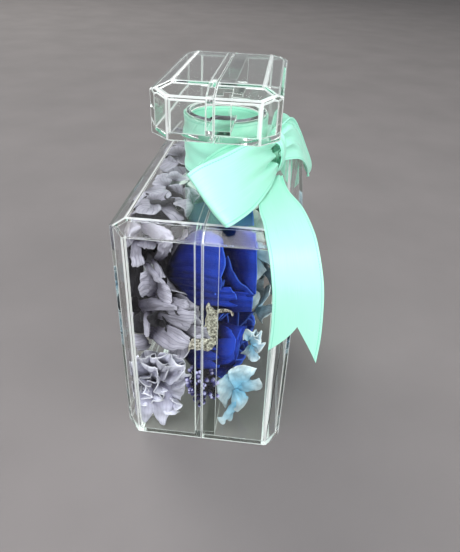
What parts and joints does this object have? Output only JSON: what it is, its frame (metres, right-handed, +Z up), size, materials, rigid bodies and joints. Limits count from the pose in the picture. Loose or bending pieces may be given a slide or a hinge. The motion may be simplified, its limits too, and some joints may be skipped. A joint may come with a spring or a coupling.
{
  "type": "preserved rose in bottle",
  "caption": "Clear bottle-shaped case with blue preserved roses and hydrangea inside, tied at the neck with a satin ribbon bow.",
  "frame": {"origin": "middle of the outer box, at the level of the flat base", "axes": "+Z up through the neck and cap, X along the case's width, -Y towards the bow and the roses' faces"},
  "size_m": [0.117, 0.0672, 0.125],
  "materials": {
    "clear_plastic": "clear, polished",
    "rose_blue": "soft matt petal, dyed royal blue",
    "hydrangea_grey": "soft matt petal, lilac grey",
    "hydrangea_white": "soft matt petal, pale green white",
    "hydrangea_blue": "soft matt petal, pale blue",
    "ruffle_lilac": "soft matt petal, pale lilac",
    "floret_blue": "soft matt petal, light blue",
    "bud_navy": "dyed dried buds, navy",
    "pod_beige": "rough dried husk",
    "satin_mint": "satin ribbon, mint green"
  },
  "bodies": {
    "root": {"case_back_half": "clear_plastic", "case_front_half": "clear_plastic", "rose_upper": "rose_blue", "rose_lower": "rose_blue", "hydrangea_grey_upper": "hydrangea_grey", "hydrangea_grey_middle": "hydrangea_grey", "hydrangea_grey_far": "hydrangea_grey", "hydrangea_white_top": "hydrangea_white", "hydrangea_white_far": "hydrangea_white", "hydrangea_blue_far": "hydrangea_blue", "ruffled_bloom": "ruffle_lilac", "floret_blue_front": "floret_blue", "floret_blue_side": "floret_blue", "bud_spray": "bud_navy", "seed_pod": "pod_beige", "ribbon_neck_wrap": "satin_mint", "ribbon_knot": "satin_mint", "ribbon_loop_near": "satin_mint", "ribbon_loop_far": "satin_mint", "ribbon_tail_near": "satin_mint", "ribbon_tail_far": "satin_mint"}
  },
  "joints": []
}
